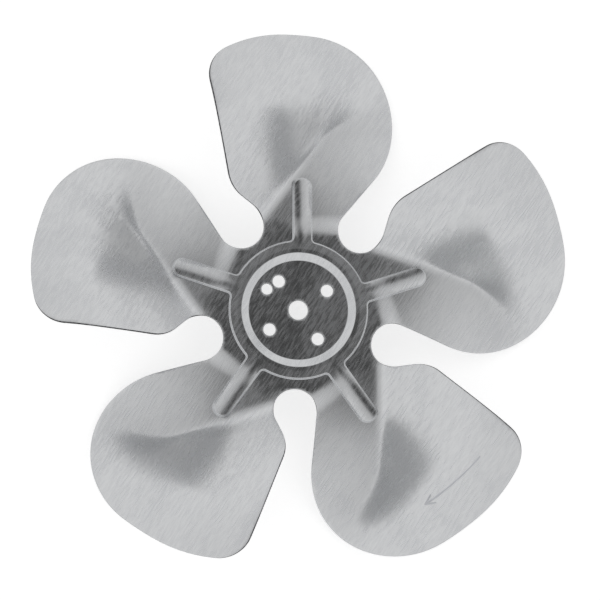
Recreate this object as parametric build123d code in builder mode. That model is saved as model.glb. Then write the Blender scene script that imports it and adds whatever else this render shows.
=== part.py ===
"""Axial fan impeller: five twisted blades and a ribbed hub, pressed from one aluminium sheet.

Frame: millimetres, the shaft axis is Z, the rear face of the hub disc lies on z = 0, the ribs and
the raised blade edges point to +Z, and blade number one points along +Y.
"""
import os
from math import atan, cos, exp, log1p, radians, sin, tan

from build123d import *

# Sheet and overall size
sheet_thickness = 1.0
tip_radius = 100.0
blade_count = 5
blade_spacing = 360 / blade_count

# Hub disc, shaft bore and fixing holes
bore_diameter = 7.0
bolt_circle_diameter = 25.4
bolt_hole_diameter = 4.5
bolt_hole_count = 4
bolt_circle_start_angle = 34.2
index_hole_diameter = 4.0
index_hole_radius = 13.8
index_hole_angle = 146.3

# Raised ring round the disc: inner bevel, narrow crest, roof falling outwards, short outer step
disc_radius = 18.2
crest_inner_radius = 20.9
crest_outer_radius = 22.3
ring_outer_radius = 25.4
ring_height = 1.9
roof_angle = 12.0

# Ribs that run from the ring onto the blades
rib_width = 7.1
rib_tip_radius = 48.5
rib_offset = 1.5
rib_height = 1.7
rib_crown = 0.7
rib_root_fillet = 1.2

# Flat hub plate: a polygon whose sides are the blade roots, with round notches between blades
root_distance = 27.0
notch_radius = 8.2
notch_circle_radius = 37.1
notch_angle = 37.9

# Blade outline in plan, in the blade's own axes: x along rotation, y outwards
belly_radius = 31.2
belly_angle = 3.8
corner_radius = 11.7
corner_centre = (-22.7, 83.4)
tip_relief_radius = 51.4
tip_relief_angle = -4.2
shoulder_radius = 12.2
shoulder_centre = (-14.6, 50.9)

# Blade form: pitch and camber, and the two bends either side of the flat tongue under the rib
pitch_angle = 34.0
camber_radius = 206.0
tongue_angle = 8.0
rise_bend_start = (-10.0, 36.0)
rise_bend_slope = 0.7
bend_meeting_offset = 7.0
fall_bend_offset = 13.0
tongue_length = 41.0
twist_length = 14.0
bend_softness = 1.2
bend_softening = 0.05
cone_drop = 1.2

# Working allowances for cutting bodies
skin_rows = 26
skin_left = -40.0
skin_right = 42.0
skin_margin = 4.0
tool_depth = 80.0


def soft_bend(distance, softness):
    """Zero before a bend line and the distance past it after, rounded over the softness."""
    return softness * log1p(exp(-abs(distance) / softness)) + max(distance, 0.0)


def ease(value, start, end):
    """Smooth step from 0 at start to 1 at end."""
    t = min(max((value - start) / (end - start), 0.0), 1.0)
    return t * t * (3 - 2 * t)


def rise_bend(y):
    """Where the upward bend crosses the station y, up to the line where both bends meet."""
    line = rise_bend_start[0] + rise_bend_slope * (y - rise_bend_start[1])
    return bend_meeting_offset - soft_bend(bend_meeting_offset - line, 3.0)


def fall_bend(y):
    """Where the downward bend crosses the station y."""
    merge = ease(y, root_distance + tongue_length / 3, root_distance + tongue_length)
    return fall_bend_offset + (bend_meeting_offset - fall_bend_offset) * merge


def tongue_height(x, y):
    """Height over the hub plate of the tongue that carries the rib."""
    settle = ease(y, root_distance, root_distance + twist_length)
    return -tan(radians(tongue_angle)) * x * settle - cone_drop * ease(y, root_distance, 2 * root_distance)


def blade_height(x, y):
    """Height of the blade's front face over the hub plate's front face."""
    bend = tan(radians(pitch_angle)) - tan(radians(tongue_angle))
    softness = bend_softness + bend_softening * (y - root_distance)
    rise = soft_bend(rise_bend(y) - x, softness)
    fall = soft_bend(x - fall_bend(y), softness)
    camber = x * x * cos(radians(pitch_angle)) ** -3 / (2 * camber_radius)
    settle = ease(y, root_distance, root_distance + twist_length)
    full = ease(y, root_distance, 2 * root_distance)
    return tongue_height(x, y) + settle * bend * (rise - fall) + full * camber


def sheet_depth(x, y):
    """Depth of the sheet measured along Z, so that it is one thickness square to its surface."""
    step = 0.01
    slope_x = (blade_height(x + step, y) - blade_height(x - step, y)) / (2 * step)
    slope_y = (blade_height(x, y + step) - blade_height(x, y - step)) / (2 * step)
    return sheet_thickness * (1 + slope_x**2 + slope_y**2) ** 0.5


def spread(start, end, count):
    """Evenly spaced values from start to end."""
    return [start + (end - start) * i / (count - 1) for i in range(count)]


def blade_skin(share, first_y):
    """Blade surface at a share of the sheet's depth, from the station first_y to past the tip."""
    rows = spread(first_y, tip_radius + skin_margin, skin_rows)
    columns = spread(skin_left, skin_right, skin_rows)
    grid = [
        [(x, y, sheet_thickness + blade_height(x, y) - share * sheet_depth(x, y)) for x in columns]
        for y in rows
    ]
    return Face.make_surface_from_array_of_points(grid, tol=0.005)


def at_bearing(radius, bearing):
    """Plan point at a radius and a bearing from the blade axis, positive along the rotation."""
    return (radius * sin(radians(bearing)), radius * cos(radians(bearing)))


def rib_roof(drop):
    """Crowned surface over one rib that follows the tongue, lowered by the given drop."""
    half_width = rib_width / 2
    columns = spread(rib_offset - rib_width, rib_offset + rib_width, 9)
    rows = spread(disc_radius, rib_tip_radius + skin_margin, 12)
    grid = [
        [
            (
                x,
                y,
                sheet_thickness
                + tongue_height(x, y)
                + rib_height
                - rib_crown * ((x - rib_offset) / half_width) ** 2
                - drop,
            )
            for x in columns
        ]
        for y in rows
    ]
    return Face.make_surface_from_array_of_points(grid, tol=0.005)


# Plan outline of one blade at the middle of the sheet, drawn over its root
belly_centre = at_bearing(tip_radius - belly_radius, belly_angle)
relief_centre = at_bearing(tip_radius - tip_relief_radius, tip_relief_angle)
neck_left = -17.0
neck_right = 18.0
with BuildSketch() as blade_plan:
    with Locations(belly_centre):
        Circle(belly_radius)
    with Locations(corner_centre):
        Circle(corner_radius)
    with Locations(shoulder_centre):
        Circle(shoulder_radius)
    make_hull()
    with Locations(((neck_left + neck_right) / 2, (root_distance - skin_margin + shoulder_centre[1]) / 2)):
        Rectangle(neck_right - neck_left, shoulder_centre[1] - root_distance + skin_margin)

# One blade: the sheet between its two skins, cut square to its surface along the outline
with BuildPart() as outline_prism:
    with BuildSketch(Plane.XY.offset(-tool_depth)):
        add(blade_plan.sketch)
    extrude(amount=2 * tool_depth)

middle_skin = blade_skin(0.5, root_distance - skin_margin).intersect(outline_prism.part)

with BuildPart() as outline_band:
    thicken(middle_skin.faces().sort_by(SortBy.AREA)[-1], amount=sheet_thickness, both=True)

with BuildPart() as under_blade:
    extrude(blade_skin(1, root_distance), amount=2 * tool_depth, dir=(0, 0, -1))

with BuildPart() as blade:
    extrude(blade_skin(0, root_distance), amount=tool_depth, dir=(0, 0, -1))
    add(under_blade.part, mode=Mode.SUBTRACT)
    add(outline_band.part, mode=Mode.INTERSECT)


def rib_prism(wall):
    """Upright bar with the rib's plan, its sides moved in by a wall."""
    half_width = rib_width / 2 - wall
    tip = rib_tip_radius - rib_width / 2
    with BuildPart() as bar:
        with BuildSketch(Plane.XY.offset(-tool_depth / 2)):
            with Locations((rib_offset, (crest_outer_radius + tip) / 2)):
                Rectangle(2 * half_width, tip - crest_outer_radius)
            with Locations((rib_offset, tip)):
                Circle(half_width)
        extrude(amount=tool_depth)
    return bar.part


# One rib: outer form standing in the sheet, and the hollow pressed up behind it
with BuildPart() as below_rib_roof:
    extrude(rib_roof(0), amount=tool_depth, dir=(0, 0, -1))

with BuildPart() as below_middle:
    extrude(blade_skin(0.5, disc_radius), amount=2 * tool_depth, dir=(0, 0, -1))

with BuildPart() as rib:
    add(rib_prism(0))
    add(below_rib_roof.part, mode=Mode.INTERSECT)
    add(below_middle.part, mode=Mode.SUBTRACT)

with BuildPart() as rib_hollow:
    add(rib_prism(sheet_thickness))
    add(below_rib_roof.part.moved(Location((0, 0, -sheet_thickness))), mode=Mode.INTERSECT)

# Ring section: bevel up from the disc, crest, roof falling outwards and the step down to the plate
roof_fall = (ring_outer_radius - crest_outer_radius) * tan(radians(roof_angle))
bevel_angle = atan(ring_height / (crest_inner_radius - disc_radius))
bevel_shift = sheet_thickness * tan(bevel_angle / 2)
crest_height = sheet_thickness + ring_height

with BuildPart() as ring:
    with BuildSketch(Plane.XZ):
        with BuildLine():
            Polyline(
                (disc_radius, sheet_thickness),
                (crest_inner_radius, crest_height),
                (crest_outer_radius, crest_height),
                (ring_outer_radius, crest_height - roof_fall),
                (ring_outer_radius, sheet_thickness / 2),
                (disc_radius, sheet_thickness / 2),
                close=True,
            )
        make_face()
    revolve(axis=Axis.Z)

with BuildPart() as ring_hollow:
    with BuildSketch(Plane.XZ):
        with BuildLine():
            Polyline(
                (disc_radius + bevel_shift, 0),
                (crest_inner_radius + bevel_shift, ring_height),
                (crest_outer_radius, ring_height),
                (ring_outer_radius - sheet_thickness, ring_height - roof_fall),
                (ring_outer_radius - sheet_thickness, 0),
                close=True,
            )
        make_face()
    revolve(axis=Axis.Z)

# The impeller
with BuildPart() as impeller:
    with BuildSketch():
        RegularPolygon(root_distance, blade_count, major_radius=False, rotation=90 - blade_spacing / 2)
    extrude(amount=sheet_thickness)
    with PolarLocations(0, blade_count):
        add(blade.part)
    with PolarLocations(notch_circle_radius, blade_count, start_angle=90 - notch_angle):
        Cylinder(notch_radius, 2 * tool_depth, mode=Mode.SUBTRACT)
    add(ring.part)
    with PolarLocations(0, blade_count):
        add(rib.part)
    add(ring_hollow.part, mode=Mode.SUBTRACT)
    with PolarLocations(0, blade_count):
        add(rib_hollow.part, mode=Mode.SUBTRACT)
    Hole(bore_diameter / 2)
    with PolarLocations(bolt_circle_diameter / 2, bolt_hole_count, start_angle=bolt_circle_start_angle):
        Hole(bolt_hole_diameter / 2)
    with PolarLocations(index_hole_radius, 1, start_angle=index_hole_angle):
        Hole(index_hole_diameter / 2)

os.makedirs("parts", exist_ok=True)
impeller.part.label = "impeller"
export_step(impeller.part, "parts/impeller.step")
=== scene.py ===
"""Axial fan impeller: one pressed sheet of rolled aluminium on a pale studio floor.

Sizes are written in millimetres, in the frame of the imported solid: the shaft axis is Z, the rear of the
hub disc lies on z = 0 and blade number one points along +Y. Meshes are built in metres.
"""

import logging
from dataclasses import dataclass, field
from enum import Enum
from math import asin, atan2, ceil, cos, hypot, pi, radians, sin, tan

import bmesh
import bpy
import numpy as np
from mathutils import Matrix, Vector
from mathutils.geometry import delaunay_2d_cdt
from mathutils.kdtree import KDTree

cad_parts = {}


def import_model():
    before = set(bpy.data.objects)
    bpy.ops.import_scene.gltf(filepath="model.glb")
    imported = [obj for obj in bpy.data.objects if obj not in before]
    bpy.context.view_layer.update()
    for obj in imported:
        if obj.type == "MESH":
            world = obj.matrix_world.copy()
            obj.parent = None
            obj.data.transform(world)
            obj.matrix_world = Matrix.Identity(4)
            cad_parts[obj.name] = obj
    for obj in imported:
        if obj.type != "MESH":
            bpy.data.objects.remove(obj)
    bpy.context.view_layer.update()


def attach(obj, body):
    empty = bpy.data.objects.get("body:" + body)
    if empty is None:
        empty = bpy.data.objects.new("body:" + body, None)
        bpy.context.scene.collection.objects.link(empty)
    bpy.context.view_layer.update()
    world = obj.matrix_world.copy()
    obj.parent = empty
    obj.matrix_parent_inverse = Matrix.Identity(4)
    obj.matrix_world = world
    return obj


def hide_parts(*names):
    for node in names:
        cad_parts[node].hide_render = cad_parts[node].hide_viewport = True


MM = 0.001
NODE = "impeller"
BODY = "root"
BLADES = 5
SPACING = 360 / BLADES
SHEET = 1.0
TIP_RADIUS = 100.0
ROOT_DISTANCE = 27.0

Point = tuple[float, float]
Pair = tuple[float, float]
Colour = tuple[float, float, float]
Feed = float | bpy.types.NodeSocket

log = logging.getLogger("impeller")


class Slot(Enum):
    """Material slots of the sheet's mesh."""

    FRONT = 0
    REAR = 1
    CUT_EDGE = 2


def at_bearing(radius: float, bearing: float, centre: Point = (0.0, 0.0)) -> Point:
    """Find a plan point by radius and bearing.

    Args:
        radius: distance from the centre, mm.
        bearing: degrees from +Y towards +X.
        centre: the point that the radius starts from, mm.

    Returns:
        The point's x and y, mm.
    """
    return centre[0] + radius * sin(radians(bearing)), centre[1] + radius * cos(radians(bearing))


def common_tangent(
    first: Point, first_radius: float, second: Point, second_radius: float
) -> tuple[Point, Point]:
    """Find where a straight edge leaves one circle and meets the next.

    Args:
        first: centre of the circle that the edge leaves, mm.
        first_radius: its radius, negative where the circle lies to the right of travel.
        second: centre of the circle that the edge meets, mm.
        second_radius: its radius, with the same sign rule.

    Returns:
        The two ends of the edge, mm.
    """
    run, climb = second[0] - first[0], second[1] - first[1]
    heading = atan2(climb, run) - asin((second_radius - first_radius) / hypot(run, climb))
    normal = (-sin(heading), cos(heading))
    return (
        (first[0] - first_radius * normal[0], first[1] - first_radius * normal[1]),
        (second[0] - second_radius * normal[0], second[1] - second_radius * normal[1]),
    )


def arc(
    centre: Point, start: Point, end: Point, step: float, turn: int = 1
) -> list[Point]:
    """Lay points along an arc, without its last one.

    Args:
        centre: the arc's centre, mm.
        start: its first point, mm.
        end: its last point, mm.
        step: the wanted distance between points, mm.
        turn: 1 for anticlockwise, -1 for clockwise.

    Returns:
        The points from start up to the one before end.
    """
    radius = hypot(start[0] - centre[0], start[1] - centre[1])
    first = atan2(start[1] - centre[1], start[0] - centre[0])
    last = atan2(end[1] - centre[1], end[0] - centre[0])
    sweep = turn * ((turn * (last - first)) % (2 * pi))
    count = max(2, ceil(abs(sweep) * radius / step))
    angles = [first + sweep * i / count for i in range(count)]
    return [(centre[0] + radius * cos(a), centre[1] + radius * sin(a)) for a in angles]


def straight(start: Point, end: Point, step: float) -> list[Point]:
    """Lay points along a straight edge, without its last one.

    Args:
        start: the edge's first point, mm.
        end: its last point, mm.
        step: the wanted distance between points, mm.

    Returns:
        The points from start up to the one before end.
    """
    count = max(1, ceil(hypot(end[0] - start[0], end[1] - start[1]) / step))
    return [
        (start[0] + (end[0] - start[0]) * i / count, start[1] + (end[1] - start[1]) * i / count)
        for i in range(count)
    ]


def turned(points: np.ndarray, angle: float) -> np.ndarray:
    """Turn plan points about the shaft axis.

    Args:
        points: an array of x and y in its last axis.
        angle: degrees, anticlockwise.

    Returns:
        The turned points, in the same form.
    """
    c, s = cos(radians(angle)), sin(radians(angle))
    x, y = points[..., 0], points[..., 1]
    return np.stack([x * c - y * s, x * s + y * c], axis=-1)


def ease(value: np.ndarray, start: float, end: float) -> np.ndarray:
    """Smooth step from 0 at start to 1 at end."""
    t = np.clip((value - start) / (end - start), 0.0, 1.0)
    return t * t * (3 - 2 * t)


def soft_bend(distance: np.ndarray, softness: np.ndarray | float) -> np.ndarray:
    """Zero before a bend line and the distance past it after, rounded over the softness."""
    return softness * np.log1p(np.exp(-np.abs(distance) / softness)) + np.maximum(distance, 0.0)


def between(values: Pair, share: np.ndarray) -> np.ndarray:
    """Value at a share of the way from the first of two values to the second."""
    return values[0] + (values[1] - values[0]) * share


def through_stations(values: tuple[float, float, float], share: np.ndarray) -> np.ndarray:
    """Smooth value at a share of the way from root to tip, through three stations."""
    root, middle, tip = values
    inner = root * (1 - share) * (1 - 2 * share) + 4 * middle * share * (1 - share)
    return inner + tip * share * (2 * share - 1)


@dataclass(frozen=True)
class BladeOutline:
    """Plan outline of the blades and of the round notches between them, by the arcs of its edges."""

    notch_radius: float = 8.2
    notch_circle: float = 37.1
    notch_bearing: float = 37.9
    belly_radius: float = 31.2
    belly_bearing: float = 3.8
    relief_radius: float = 51.4
    relief_bearing: float = -4.2
    corner_radius: float = 11.7
    corner_bearing: float = -28.7
    shoulder_radius: float = 12.2
    shoulder: Point = (-14.6, 50.9)
    step: float = 0.8

    def blade(self) -> list[Point]:
        """Lay the outline of one blade and of the notch after it.

        Returns:
            Points from the blade's right-hand notch anticlockwise to the next blade's start, mm.
        """
        right = at_bearing(self.notch_circle, self.notch_bearing)
        left = at_bearing(self.notch_circle, self.notch_bearing - SPACING)
        belly = at_bearing(TIP_RADIUS - self.belly_radius, self.belly_bearing)
        relief = at_bearing(TIP_RADIUS - self.relief_radius, self.relief_bearing)
        corner = at_bearing(self.relief_radius - self.corner_radius, self.corner_bearing, relief)
        neck, belly_start = common_tangent(right, -self.notch_radius, belly, self.belly_radius)
        tip_start = at_bearing(TIP_RADIUS, self.belly_bearing)
        tip_end = at_bearing(TIP_RADIUS, self.relief_bearing)
        corner_start = at_bearing(self.relief_radius, self.corner_bearing, relief)
        shoulder, shoulder_radius = self.shoulder, self.shoulder_radius
        corner_end, shoulder_start = common_tangent(
            corner, self.corner_radius, shoulder, shoulder_radius
        )
        shoulder_end, hook = common_tangent(shoulder, shoulder_radius, left, -self.notch_radius)
        following = turned(np.array(neck), SPACING)
        return (
            straight(neck, belly_start, self.step)
            + arc(belly, belly_start, tip_start, self.step)
            + arc((0.0, 0.0), tip_start, tip_end, self.step)
            + arc(relief, tip_end, corner_start, self.step)
            + arc(corner, corner_start, corner_end, self.step)
            + straight(corner_end, shoulder_start, self.step)
            + arc(shoulder, shoulder_start, shoulder_end, self.step)
            + straight(shoulder_end, hook, self.step)
            + arc(left, hook, (float(following[0]), float(following[1])), self.step, turn=-1)
        )

    def whole(self) -> np.ndarray:
        """Lay the closed outline of the whole impeller.

        Returns:
            An array of plan points, anticlockwise, mm.
        """
        one = np.array(self.blade())
        return np.concatenate([turned(one, SPACING * k) for k in range(BLADES)])


@dataclass(frozen=True)
class BladePress:
    """Form that the press gives a blade: two pitched sides either side of a nearly level tongue."""

    raised_slopes: tuple[float, float, float] = (0.85, 0.76, 0.55)
    lowered_slopes: tuple[float, float, float] = (0.19, 0.31, 0.38)
    tongue_slope: float = 0.056
    camber_curvature: float = 0.0054
    rise_start: Point = (-11.5, 36.0)
    rise_slope: float = 0.73
    rise_reach: float = 18.0
    rise_hook: float = 2.0
    fall_offsets: Pair = (9.0, -3.7)
    fall_span: Pair = (42.0, 67.0)
    rise_softness: Pair = (1.0, 15.0)
    fall_softness: Pair = (12.0, 13.0)
    softness_span: Pair = (63.0, 94.0)
    root_blend: float = 8.0
    tongue_centre: float = 1.5

    def height(self, x: np.ndarray, y: np.ndarray) -> np.ndarray:
        """Work out how far the press lifts the sheet over the hub plate.

        Args:
            x: places across the blade, positive along the rotation, mm.
            y: distances out along the blade, mm.

        Returns:
            The heights, mm.
        """
        share = np.clip((y - ROOT_DISTANCE) / (TIP_RADIUS - ROOT_DISTANCE), 0.0, 1.0)
        softening = ease(y, *self.softness_span)
        line = self.rise_start[0] + self.rise_slope * (y - self.rise_start[1])
        rise_line = self.rise_reach - soft_bend(self.rise_reach - line, self.rise_hook)
        fall_line = between(self.fall_offsets, ease(y, *self.fall_span))
        rise = soft_bend(rise_line - x, between(self.rise_softness, softening))
        fall = soft_bend(x - fall_line, between(self.fall_softness, softening))
        raised = (through_stations(self.raised_slopes, share) - self.tongue_slope) * rise
        lowered = (through_stations(self.lowered_slopes, share) - self.tongue_slope) * fall
        twisted = raised - lowered - self.tongue_slope * (x - self.tongue_centre)
        camber = self.camber_curvature * x * x / 2 * ease(y, ROOT_DISTANCE, 2 * ROOT_DISTANCE)
        return ease(y, ROOT_DISTANCE, ROOT_DISTANCE + self.root_blend) * twisted - camber


@dataclass(frozen=True)
class HubPress:
    """Forms pressed up from the hub plate: a ring round the disc and a rib that runs onto each blade."""

    disc_radius: float = 18.2
    crest_inner: float = 20.9
    crest_outer: float = 22.3
    ring_outer: float = 25.4
    ring_height: float = 1.9
    roof_angle: float = 4.0
    rib_half_width: float = 3.55
    rib_centre: float = 1.5
    rib_end: float = 48.5
    rib_height: float = 1.8
    rib_crown: float = 0.8
    rib_tilt: float = 0.1
    root_fillet: float = 1.5
    wall: tuple[Pair, ...] = ((0.0, 0.0), (0.08, 0.14), (0.28, 0.88), (0.38, 1.0))
    step: float = 0.45

    def star_loop(self, inset: float) -> np.ndarray:
        """Lay the plan outline of ring and ribs together, moved inwards.

        Args:
            inset: how far inside the outline the loop lies, mm.

        Returns:
            The closed loop's points, anticlockwise, mm.
        """
        ring, half_width = self.ring_outer - inset, self.rib_half_width - inset
        fillet = self.root_fillet + inset
        reach = self.rib_end - self.rib_half_width
        right, left = self.rib_centre + half_width, self.rib_centre - half_width
        right_root = (right + fillet, ((ring + fillet) ** 2 - (right + fillet) ** 2) ** 0.5)
        left_root = (left - fillet, ((ring + fillet) ** 2 - (left - fillet) ** 2) ** 0.5)
        share = ring / (ring + fillet)
        rise = (right_root[0] * share, right_root[1] * share)
        land = (left_root[0] * share, left_root[1] * share)
        following = turned(np.array(rise), SPACING)
        one = np.array(
            arc(right_root, rise, (right, right_root[1]), self.step / 2, turn=-1)
            + straight((right, right_root[1]), (right, reach), self.step)
            + arc((self.rib_centre, reach), (right, reach), (left, reach), self.step / 2)
            + straight((left, reach), (left, left_root[1]), self.step)
            + arc(left_root, (left, left_root[1]), land, self.step / 2, turn=-1)
            + arc((0.0, 0.0), land, (float(following[0]), float(following[1])), self.step)
        )
        return np.concatenate([turned(one, SPACING * k) for k in range(BLADES)])

    def ring_relief(self, radius: np.ndarray) -> np.ndarray:
        """Height of the ring over the plate: bevel, crest and the roof that falls outwards."""
        bevel = np.clip((radius - self.disc_radius) / (self.crest_inner - self.disc_radius), 0.0, 1.0)
        fall = np.maximum(radius - self.crest_outer, 0.0) * tan(radians(self.roof_angle))
        return np.maximum(self.ring_height * bevel - fall, 0.0)

    def rib_relief(self, x: np.ndarray, y: np.ndarray) -> np.ndarray:
        """Height of the rib over the sheet that it runs on."""
        across = (x - self.rib_centre) / self.rib_half_width
        tilt = self.rib_tilt * (x - self.rib_centre)
        crown = self.rib_height - self.rib_crown * across**2 - tilt
        return np.where((y > self.crest_outer) & (np.abs(across) < 1.6), np.maximum(crown, 0.0), 0.0)


@dataclass(frozen=True)
class HoleRow:
    """Round holes of one size in the hub disc.

    Attributes:
        radius: radius of each hole, mm.
        circle: radius of the circle that the holes lie on, mm.
        start: angle of the first hole, degrees anticlockwise from +X.
        count: number of holes, spread evenly.
    """

    radius: float
    circle: float = 0.0
    start: float = 0.0
    count: int = 1

    def centres(self) -> list[Point]:
        """Centres of the holes, mm."""
        angles = [radians(self.start + 360 * i / self.count) for i in range(self.count)]
        return [(self.circle * cos(a), self.circle * sin(a)) for a in angles]


def circle_loop(radius: float, centre: Point, step: float) -> np.ndarray:
    """Lay a closed circle of points.

    Args:
        radius: the circle's radius, mm.
        centre: its centre, mm.
        step: the wanted distance between points, mm.

    Returns:
        The points, anticlockwise, mm.
    """
    angles = np.linspace(0, 2 * pi, max(24, ceil(2 * pi * radius / step)), endpoint=False)
    return np.stack([centre[0] + radius * np.cos(angles), centre[1] + radius * np.sin(angles)], axis=-1)


def encloses(loop: np.ndarray, points: np.ndarray) -> np.ndarray:
    """Find which points lie inside a closed loop.

    Args:
        loop: the loop's points.
        points: the points to test.

    Returns:
        True for each point inside.
    """
    inside = np.zeros(len(points), dtype=bool)
    x, y = points[:, 0], points[:, 1]
    for (x1, y1), (x2, y2) in zip(loop, np.roll(loop, -1, axis=0)):
        if y1 == y2:
            continue
        crossing = ((y1 > y) != (y2 > y)) & (x < (x2 - x1) * (y - y1) / (y2 - y1) + x1)
        inside ^= crossing
    return inside


@dataclass
class PressedSheet:
    """The impeller itself: one blank with its holes, lifted to its form and given its thickness."""

    outline: BladeOutline = field(default_factory=BladeOutline)
    press: BladePress = field(default_factory=BladePress)
    hub: HubPress = field(default_factory=HubPress)
    holes: tuple[HoleRow, ...] = (
        HoleRow(radius=3.5),
        HoleRow(radius=2.25, circle=12.7, start=34.2, count=4),
        HoleRow(radius=2.0, circle=13.8, start=146.3),
    )
    spacing: float = 1.15
    clearance: float = 0.55
    edge_round: float = 0.13
    sector_middle: float = 1.9
    fold_width: float = 0.16
    reach: float = 102.0
    row_pitch: float = 0.866
    hole_step: float = 0.5
    fold_step: float = 0.6
    root_line: Pair = (-12.5, 14.0)
    root_line_step: float = 1.0
    rib_gap: float = 2.2
    loop_margin: float = 0.05
    weld: float = 1e-5
    most_shell: float = 1.6

    def hole_loops(self) -> list[np.ndarray]:
        """Edges of the holes in plan, mm."""
        return [
            circle_loop(row.radius, centre, self.hole_step)
            for row in self.holes
            for centre in row.centres()
        ]

    def form_loops(self) -> list[np.ndarray]:
        """Lines of the hub's pressed forms that the mesh has to follow, mm."""
        folds = [self.hub.disc_radius, self.hub.crest_inner, self.hub.crest_outer]
        rings = [fold + beside for fold in folds for beside in (-self.fold_width, 0.0, self.fold_width)]
        steps = [inset for inset, _ in self.hub.wall]
        insets = [-self.fold_width, *steps, steps[-1] + self.fold_width]
        walls = [self.hub.star_loop(inset) for inset in insets]
        return [circle_loop(radius, (0.0, 0.0), self.fold_step) for radius in rings] + walls

    def root_lines(self) -> list[np.ndarray]:
        """Open lines along the blade roots, between the notches, mm."""
        across = np.arange(*self.root_line, self.root_line_step)
        line = np.stack([across, np.full(across.shape, ROOT_DISTANCE)], axis=-1)
        clear = np.hypot(line[:, 0], line[:, 1]) > self.hub.ring_outer + self.clearance
        from_rib = np.abs(line[:, 0] - self.hub.rib_centre)
        beside_rib = from_rib > self.hub.rib_half_width + self.rib_gap
        return [turned(line[clear & beside_rib], SPACING * k) for k in range(BLADES)]

    def filling(self, loops: list[np.ndarray], blank: np.ndarray) -> np.ndarray:
        """Spread points over the blank between the loops.

        Args:
            loops: every loop and line that the mesh follows, mm.
            blank: the outline of the blank, mm.

        Returns:
            Points on a triangular grid, clear of the loops, mm.
        """
        rows = np.arange(-self.reach, self.reach, self.spacing * self.row_pitch)
        columns = np.arange(-self.reach, self.reach, self.spacing)
        x, y = np.meshgrid(columns, rows)
        x = x + self.spacing / 2 * (np.arange(len(rows)) % 2)[:, None]
        grid = np.stack([x.ravel(), y.ravel()], axis=-1)
        grid = grid[encloses(blank, grid)]
        for hole in self.hole_loops():
            grid = grid[~encloses(hole, grid)]
        foot, top = self.hub.star_loop(0.0), self.hub.star_loop(self.hub.wall[-1][0])
        grid = grid[~(encloses(foot, grid) & ~encloses(top, grid))]
        fixed = KDTree(sum(len(loop) for loop in loops))
        for index, point in enumerate(np.concatenate(loops)):
            fixed.insert((point[0], point[1], 0.0), index)
        fixed.balance()
        clear = [fixed.find((px, py, 0.0))[2] > self.clearance for px, py in grid]
        return grid[np.array(clear)]

    def heights(self, points: np.ndarray) -> np.ndarray:
        """Work out the height of the sheet's front face.

        Args:
            points: plan points, mm.

        Returns:
            Their heights over the rear of the hub disc, mm.
        """
        radius = np.hypot(points[:, 0], points[:, 1])
        share = np.zeros(len(points))
        for (inset, _), (_, lift) in zip(self.hub.wall, self.hub.wall[1:]):
            past = encloses(self.hub.star_loop(inset + self.loop_margin), points)
            share = np.where(past, lift, share)
        plate = np.zeros(len(points))
        relief = self.hub.ring_relief(radius)
        for k in range(BLADES):
            own = turned(points, -SPACING * k)
            x, y = own[:, 0], own[:, 1]
            sector = np.abs(np.degrees(np.arctan2(x, y)) - self.sector_middle) <= SPACING / 2
            plate = np.where(sector, self.press.height(x, y), plate)
            relief = np.where(sector, np.maximum(relief, self.hub.rib_relief(x, y)), relief)
        return SHEET + plate + relief * np.where(radius > self.hub.crest_outer, share, 1.0)

    def blank(self) -> bmesh.types.BMesh:
        """Triangulate the flat blank along its outline, holes and form lines.

        Returns:
            The flat mesh, in millimetres.
        """
        outline = self.outline.whole()
        closed = [outline, *self.hole_loops(), *self.form_loops()]
        lines = self.root_lines()
        points = np.concatenate([*closed, *lines, self.filling(closed + lines, outline)])
        edges = []
        first = 0
        for loop in closed:
            count = len(loop)
            edges += [(first + i, first + (i + 1) % count) for i in range(count)]
            first += count
        vectors = [Vector((float(px), float(py))) for px, py in points]
        placed, _, faces, _, _, _ = delaunay_2d_cdt(vectors, edges, [], 0, self.weld)
        flat = np.array([(v.x, v.y) for v in placed])
        middles = flat[np.array(faces)].mean(axis=1)
        keep = encloses(outline, middles)
        for hole in self.hole_loops():
            keep &= ~encloses(hole, middles)
        mesh = bmesh.new()
        corners = [mesh.verts.new((px, py, 0.0)) for px, py in flat]
        for face, kept in zip(faces, keep):
            if kept:
                mesh.faces.new([corners[i] for i in face])
        bmesh.ops.delete(mesh, geom=[v for v in mesh.verts if not v.link_faces], context="VERTS")
        bmesh.ops.recalc_face_normals(mesh, faces=mesh.faces)
        if next(iter(mesh.faces)).normal.z < 0:
            bmesh.ops.reverse_faces(mesh, faces=mesh.faces)
        return mesh

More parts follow.
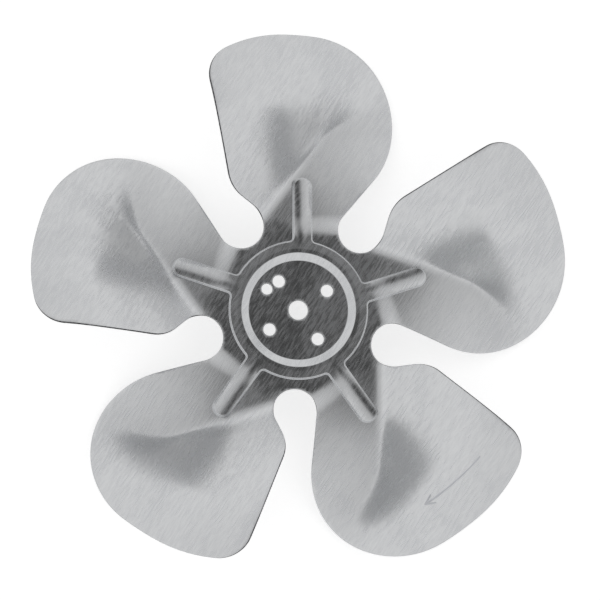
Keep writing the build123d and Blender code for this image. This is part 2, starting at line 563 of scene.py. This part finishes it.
    def mesh(self) -> bpy.types.Mesh:
        """Press the blank, thicken it and round its cut edges.

        Returns:
            The sheet's mesh, in metres.
        """
        sheet = self.blank()
        flat = np.array([(v.co.x, v.co.y) for v in sheet.verts])
        for vert, height in zip(sheet.verts, self.heights(flat)):
            vert.co.z = float(height)
        sheet.normal_update()
        depth = sheet.verts.layers.float_vector.new("depth")
        for vert in sheet.verts:
            vert[depth] = vert.normal * (SHEET * min(vert.calc_shell_factor(), self.most_shell))
        front_faces = set(sheet.faces)
        pressed = bmesh.ops.extrude_face_region(sheet, geom=list(sheet.faces), use_keep_orig=True)
        for vert in (g for g in pressed["geom"] if isinstance(g, bmesh.types.BMVert)):
            vert.co -= vert[depth]
        rear_faces = {g for g in pressed["geom"] if isinstance(g, bmesh.types.BMFace)}
        cut = set(sheet.faces) - front_faces - rear_faces
        bmesh.ops.recalc_face_normals(sheet, faces=sheet.faces)
        for face in rear_faces:
            face.material_index = Slot.REAR.value
        for face in cut:
            face.material_index = Slot.CUT_EDGE.value
        for face in sheet.faces:
            face.smooth = True
        rims = [e for e in sheet.edges if sum(f in cut for f in e.link_faces) == 1]
        bmesh.ops.bevel(
            sheet,
            geom=rims,
            offset=self.edge_round,
            offset_type="OFFSET",
            segments=2,
            profile=0.5,
            affect="EDGES",
            material=-1,
            clamp_overlap=True,
        )
        sheet.verts.layers.float_vector.remove(depth)
        bmesh.ops.transform(sheet, matrix=Matrix.Scale(MM, 4), verts=sheet.verts)
        mesh = bpy.data.meshes.new("pressed_sheet")
        sheet.to_mesh(mesh)
        sheet.free()
        return mesh

    def build(self, finishes: dict[Slot, bpy.types.Material]) -> bpy.types.Object:
        """Make the impeller's piece and put it in the place of its solid.

        Args:
            finishes: the material for each slot.

        Returns:
            The finished piece.
        """
        piece = bpy.data.objects.new("pressed_sheet", self.mesh())
        bpy.context.scene.collection.objects.link(piece)
        for slot in Slot:
            piece.data.materials.append(finishes[slot])
        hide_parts(NODE)
        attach(piece, BODY)
        log.info("%s: %d faces", piece.name, len(piece.data.polygons))
        return piece


def math_node(tree: bpy.types.NodeTree, operation: str, *values: Feed) -> bpy.types.NodeSocket:
    """Add a Math node and feed it.

    Args:
        tree: the node tree.
        operation: the node's operation.
        *values: numbers, or sockets to link.

    Returns:
        The node's output.
    """
    node = tree.nodes.new("ShaderNodeMath")
    node.operation = operation
    for place, value in zip(node.inputs, values):
        if isinstance(value, bpy.types.NodeSocket):
            tree.links.new(value, place)
        else:
            place.default_value = value
    return node.outputs[0]


def ranged(
    tree: bpy.types.NodeTree, value: bpy.types.NodeSocket, old: tuple[Feed, Feed], new: tuple[Feed, Feed]
) -> bpy.types.NodeSocket:
    """Add a Map Range node with a smooth step.

    Args:
        tree: the node tree.
        value: the socket to map.
        old: the values that the step starts and ends at.
        new: what they become.

    Returns:
        The mapped value.
    """
    node = tree.nodes.new("ShaderNodeMapRange")
    node.interpolation_type = "SMOOTHSTEP"
    tree.links.new(value, node.inputs["Value"])
    names = ("From Min", "From Max", "To Min", "To Max")
    for name, limit in zip(names, (*old, *new)):
        if isinstance(limit, bpy.types.NodeSocket):
            tree.links.new(limit, node.inputs[name])
        else:
            node.inputs[name].default_value = limit
    return node.outputs["Result"]


class RolledGrain:
    """Node group: the fine lines that rolling leaves in the sheet, with faint clouds and scratches."""

    name = "rolled_grain"
    direction = 57.0

    def stretched(
        self, tree: bpy.types.NodeTree, along: float, across: float, turn: float
    ) -> bpy.types.NodeSocket:
        """Add a noise drawn out along the rolling direction.

        Args:
            tree: the node tree.
            along: marks per metre along the lines.
            across: marks per metre across them.
            turn: extra turn away from the rolling direction, degrees.

        Returns:
            The noise value.
        """
        place = tree.nodes.new("ShaderNodeTexCoord")
        spin = tree.nodes.new("ShaderNodeVectorRotate")
        spin.rotation_type = "Z_AXIS"
        spin.inputs["Angle"].default_value = -radians(self.direction + turn)
        stretch = tree.nodes.new("ShaderNodeMapping")
        stretch.inputs["Scale"].default_value = (along, across, 120.0)
        noise = tree.nodes.new("ShaderNodeTexNoise")
        noise.inputs["Scale"].default_value = 1.0
        noise.inputs["Detail"].default_value = 5.0
        tree.links.new(place.outputs["Object"], spin.inputs["Vector"])
        tree.links.new(spin.outputs["Vector"], stretch.inputs["Vector"])
        tree.links.new(stretch.outputs["Vector"], noise.inputs["Vector"])
        return noise.outputs["Fac"]

    def build(self) -> bpy.types.NodeTree:
        """Build the group.

        Returns:
            The node group, with the outputs Lines, Clouds and Scratches.
        """
        group = bpy.data.node_groups.new(self.name, "ShaderNodeTree")
        for name in ("Lines", "Clouds", "Scratches"):
            group.interface.new_socket(name=name, in_out="OUTPUT", socket_type="NodeSocketFloat")
        out = group.nodes.new("NodeGroupOutput")
        fine = self.stretched(group, 240.0, 1500.0, 0.0)
        broad = self.stretched(group, 40.0, 600.0, 1.5)
        fine_share = math_node(group, "MULTIPLY", fine, 0.75)
        lines = math_node(group, "ADD", fine_share, math_node(group, "MULTIPLY", broad, 0.25))
        clouds = self.stretched(group, 18.0, 34.0, 20.0)
        scratches = ranged(group, self.stretched(group, 60.0, 2600.0, -38.0), (0.68, 0.74), (0.0, 1.0))
        group.links.new(lines, out.inputs["Lines"])
        group.links.new(clouds, out.inputs["Clouds"])
        group.links.new(scratches, out.inputs["Scratches"])
        return group


@dataclass(frozen=True)
class RotationArrow:
    """Plain curved arrow stamped near one blade's tip, showing which way the impeller turns.

    Attributes:
        radius: distance of the arrow's line from the shaft axis, mm.
        tail: angle of its tail, degrees.
        tip: angle of its point, degrees.
        line: half the width of its line, mm.
        head: length of its head, mm.
        spread: how far each barb leaves the line, as a share of the way from the point.
    """

    radius: float = 84.6
    tail: float = -40.4
    tip: float = -57.3
    line: float = 0.3
    head: float = 3.6
    spread: float = 0.5

    def mask(self, tree: bpy.types.NodeTree) -> bpy.types.NodeSocket:
        """Add the nodes that mark the arrow.

        Args:
            tree: the node tree.

        Returns:
            1 on the arrow and 0 elsewhere.
        """
        place = tree.nodes.new("ShaderNodeTexCoord")
        parts = tree.nodes.new("ShaderNodeSeparateXYZ")
        tree.links.new(place.outputs["Object"], parts.inputs["Vector"])
        x, y = parts.outputs["X"], parts.outputs["Y"]
        x_square, y_square = (math_node(tree, "MULTIPLY", side, side) for side in (x, y))
        reach = math_node(tree, "SQRT", math_node(tree, "ADD", x_square, y_square))
        aside = math_node(tree, "ABSOLUTE", math_node(tree, "SUBTRACT", reach, self.radius * MM))
        turn = math_node(tree, "SUBTRACT", math_node(tree, "ARCTAN2", y, x), radians(self.tip))
        along = math_node(tree, "MULTIPLY", turn, self.radius * MM)
        length = radians(self.tail - self.tip) * self.radius * MM
        past_tip = math_node(tree, "GREATER_THAN", along, 0.0)
        reached = math_node(tree, "MULTIPLY", past_tip, math_node(tree, "LESS_THAN", along, length))
        edge = (self.line * 0.6 * MM, self.line * 1.4 * MM)
        shaft = math_node(tree, "MULTIPLY", ranged(tree, aside, edge, (1.0, 0.0)), reached)
        splay = math_node(tree, "MULTIPLY", along, self.spread)
        barb = math_node(tree, "ABSOLUTE", math_node(tree, "SUBTRACT", aside, splay))
        near_tip = math_node(tree, "LESS_THAN", along, self.head * MM)
        head = math_node(tree, "MULTIPLY", ranged(tree, barb, edge, (1.0, 0.0)), reached)
        return math_node(tree, "MAXIMUM", shaft, math_node(tree, "MULTIPLY", head, near_tip))


@dataclass(frozen=True)
class Aluminium:
    """Finish of bare aluminium sheet.

    Attributes:
        name: the material's name.
        light: colour of the clean metal.
        dull: colour where it is slightly stained.
        roughness: least and greatest roughness.
        relief: height of the rolling lines, m.
        line_tone: how far the rolling lines dull the metal.
        scratch_roughness: roughness that a scratch adds.
        arrow: the stamped arrow, on the face that has one.
    """

    name: str
    light: Colour = (0.84, 0.85, 0.86)
    dull: Colour = (0.74, 0.75, 0.77)
    roughness: Pair = (0.19, 0.3)
    relief: float = 0.00011
    line_tone: float = 0.55
    scratch_roughness: float = 0.08
    arrow: RotationArrow | None = None

    def build(self, grain: bpy.types.NodeTree) -> bpy.types.Material:
        """Build the material.

        Args:
            grain: the rolled grain group.

        Returns:
            The material.
        """
        material = bpy.data.materials.new(self.name)
        material.use_nodes = True
        tree = material.node_tree
        shader = tree.nodes["Principled BSDF"]
        shader.inputs["Metallic"].default_value = 1.0
        marks = tree.nodes.new("ShaderNodeGroup")
        marks.node_tree = grain
        stain = ranged(tree, marks.outputs["Clouds"], (0.35, 0.7), (0.0, 0.7))
        lines = ranged(tree, marks.outputs["Lines"], (0.35, 0.65), (0.0, 1.0))
        tone = math_node(tree, "MULTIPLY", lines, self.line_tone)
        dulling = math_node(tree, "ADD", math_node(tree, "MULTIPLY", stain, 0.5), tone)
        height = marks.outputs["Lines"]
        if self.arrow:
            stamp = self.arrow.mask(tree)
            dulling = math_node(tree, "ADD", dulling, math_node(tree, "MULTIPLY", stamp, 1.6))
            height = math_node(tree, "SUBTRACT", height, math_node(tree, "MULTIPLY", stamp, 2.5))
        colour = tree.nodes.new("ShaderNodeMix")
        colour.data_type = "RGBA"
        colour.inputs["A"].default_value = (*self.light, 1.0)
        colour.inputs["B"].default_value = (*self.dull, 1.0)
        colour.clamp_factor = False
        tree.links.new(dulling, colour.inputs["Factor"])
        tree.links.new(colour.outputs["Result"], shader.inputs["Base Color"])
        rough = ranged(tree, dulling, (0.0, 0.8), self.roughness)
        scratched = math_node(tree, "MULTIPLY", marks.outputs["Scratches"], self.scratch_roughness)
        worn = math_node(tree, "ADD", rough, scratched)
        tree.links.new(worn, shader.inputs["Roughness"])
        bump = tree.nodes.new("ShaderNodeBump")
        bump.inputs["Strength"].default_value = 0.4
        bump.inputs["Distance"].default_value = self.relief
        tree.links.new(height, bump.inputs["Height"])
        tree.links.new(bump.outputs["Normal"], shader.inputs["Normal"])
        return material


@dataclass(frozen=True)
class ShearedEdgeWithPaintedShade:
    """Finish of the punched edge: rougher than the faces and streaked through its thickness, with its
    colour darkened as painted shade for the shade that the cut edges fall in.
    """

    name: str = "aluminium_sheared_edge_painted_shade"
    # Both colours are painted shade: far darker than the sheared metal itself, standing in for the shade on
    # the cut edges; only the streaks between them are real shear marks.
    light: Colour = (0.36, 0.36, 0.37)
    dark: Colour = (0.05, 0.05, 0.055)

    def build(self) -> bpy.types.Material:
        """Build the material.

        Returns:
            The material.
        """
        material = bpy.data.materials.new(self.name)
        material.use_nodes = True
        tree = material.node_tree
        shader = tree.nodes["Principled BSDF"]
        shader.inputs["Metallic"].default_value = 1.0
        place = tree.nodes.new("ShaderNodeTexCoord")
        noise = tree.nodes.new("ShaderNodeTexNoise")
        noise.inputs["Scale"].default_value = 900.0
        noise.inputs["Detail"].default_value = 4.0
        tree.links.new(place.outputs["Object"], noise.inputs["Vector"])
        colour = tree.nodes.new("ShaderNodeMix")
        colour.data_type = "RGBA"
        colour.inputs["A"].default_value = (*self.dark, 1.0)
        colour.inputs["B"].default_value = (*self.light, 1.0)
        streaks = ranged(tree, noise.outputs["Fac"], (0.35, 0.75), (0.0, 1.0))
        tree.links.new(streaks, colour.inputs["Factor"])
        tree.links.new(colour.outputs["Result"], shader.inputs["Base Color"])
        rough = ranged(tree, noise.outputs["Fac"], (0.3, 0.7), (0.35, 0.6))
        tree.links.new(rough, shader.inputs["Roughness"])
        return material


@dataclass
class Studio:
    """Pale floor, soft light from all round with a dark gap overhead, and the camera."""

    floor_height: float = -17.5
    floor_size: float = 8.0
    floor_glow: float = 0.66
    gap_centre: Pair = (50.0, 85.0)
    gap: Pair = (5.0, 29.0)
    gap_light: float = 0.032
    near_light: float = 0.62
    wall_light: float = 0.88
    low_light: float = 0.34
    wall_full: float = 70.0
    low_start: float = 88.0
    low_end: float = 115.0
    camera_azimuth: float = 230.0
    camera_elevation: float = 83.3
    camera_distance: float = 4.0
    camera_target: tuple[float, float, float] = (0.565, 3.66, 1.5)
    view_width: float = 600 / 2.742

    def direction(self, azimuth: float, elevation: float) -> Vector:
        """Unit vector towards an azimuth and elevation, degrees."""
        a, e = radians(azimuth), radians(elevation)
        return Vector((cos(e) * cos(a), cos(e) * sin(a), sin(e)))

    def camera_rays(self, tree: bpy.types.NodeTree) -> bpy.types.NodeSocket:
        """Add the mask of rays that come straight from the camera."""
        return tree.nodes.new("ShaderNodeLightPath").outputs["Is Camera Ray"]

    def world(self) -> None:
        """Light the scene from all round, with less light straight overhead and below the horizon."""
        world = bpy.data.worlds.new("studio")
        world.use_nodes = True
        tree = world.node_tree
        tree.nodes.clear()
        place = tree.nodes.new("ShaderNodeTexCoord")
        toward = tree.nodes.new("ShaderNodeVectorMath")
        toward.operation = "DOT_PRODUCT"
        toward.inputs[1].default_value = self.direction(*self.gap_centre)
        tree.links.new(place.outputs["Generated"], toward.inputs[0])
        angle = math_node(tree, "ARCCOSINE", toward.outputs["Value"])
        start, end = (radians(limit) for limit in self.gap)
        near = ranged(tree, angle, (start, end), (self.gap_light, self.near_light))
        wide = ranged(tree, angle, (end, radians(self.wall_full)), (0.0, self.wall_light - self.near_light))
        fade = (radians(self.low_start), radians(self.low_end))
        low = ranged(tree, angle, fade, (1.0, self.low_light / self.wall_light))
        level = math_node(tree, "MULTIPLY", math_node(tree, "ADD", near, wide), low)
        lit = tree.nodes.new("ShaderNodeBackground")
        tree.links.new(level, lit.inputs["Strength"])
        white = tree.nodes.new("ShaderNodeBackground")
        white.inputs["Color"].default_value = (1.0, 1.0, 1.0, 1.0)
        mix = tree.nodes.new("ShaderNodeMixShader")
        out = tree.nodes.new("ShaderNodeOutputWorld")
        tree.links.new(self.camera_rays(tree), mix.inputs["Fac"])
        tree.links.new(lit.outputs["Background"], mix.inputs[1])
        tree.links.new(white.outputs["Background"], mix.inputs[2])
        tree.links.new(mix.outputs["Shader"], out.inputs["Surface"])
        bpy.context.scene.world = world

    def floor(self) -> bpy.types.Object:
        """Lay the pale floor under the lowest blade edge.

        Returns:
            The floor.
        """
        plane = bmesh.new()
        bmesh.ops.create_grid(plane, x_segments=1, y_segments=1, size=self.floor_size / 2)
        bmesh.ops.translate(plane, vec=(0.0, 0.0, self.floor_height * MM), verts=plane.verts)
        mesh = bpy.data.meshes.new("floor")
        plane.to_mesh(mesh)
        plane.free()
        floor = bpy.data.objects.new("floor", mesh)
        bpy.context.scene.collection.objects.link(floor)
        material = bpy.data.materials.new("pale_floor")
        material.use_nodes = True
        tree = material.node_tree
        shader = tree.nodes["Principled BSDF"]
        shader.inputs["Base Color"].default_value = (0.8, 0.8, 0.8, 1.0)
        shader.inputs["Roughness"].default_value = 0.9
        shader.inputs["Specular IOR Level"].default_value = 0.1
        shader.inputs["Emission Color"].default_value = (1.0, 1.0, 1.0, 1.0)
        seen = math_node(tree, "MULTIPLY", self.camera_rays(tree), self.floor_glow)
        tree.links.new(seen, shader.inputs["Emission Strength"])
        mesh.materials.append(material)
        return floor

    def camera(self) -> bpy.types.Object:
        """Set up the camera, nearly along the shaft axis.

        Returns:
            The camera.
        """
        back = self.direction(self.camera_azimuth, self.camera_elevation)
        up = (Vector((0.0, 1.0, 0.0)) - back * back.y).normalized()
        across = up.cross(back)
        place = Matrix((across, up, back)).transposed().to_4x4()
        place.translation = Vector(self.camera_target) * MM + back * self.camera_distance
        lens = bpy.data.cameras.new("camera")
        lens.lens = lens.sensor_width * self.camera_distance / (self.view_width * MM)
        lens.clip_end = 20.0
        camera = bpy.data.objects.new("camera", lens)
        camera.matrix_world = place
        bpy.context.scene.collection.objects.link(camera)
        bpy.context.scene.camera = camera
        return camera

    def build(self) -> None:
        """Set up floor, light, camera and view."""
        bpy.context.scene.view_settings.view_transform = "Standard"
        self.camera()
        self.world()
        self.floor()
        log.info("studio ready")


def main() -> None:
    """Build the scene, piece by piece, and keep its sizes."""
    logging.basicConfig(level=logging.INFO, format="%(name)s: %(message)s")
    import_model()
    grain = RolledGrain().build()
    finishes = {
        Slot.FRONT: Aluminium("aluminium_front", arrow=RotationArrow()).build(grain),
        Slot.REAR: Aluminium("aluminium_rear", roughness=(0.24, 0.36)).build(grain),
        # The cut edges' material carries painted shade in its dark colour.
        Slot.CUT_EDGE: ShearedEdgeWithPaintedShade().build(),
    }
    PressedSheet().build(finishes)
    Studio().build()


if __name__ == "__main__":
    main()
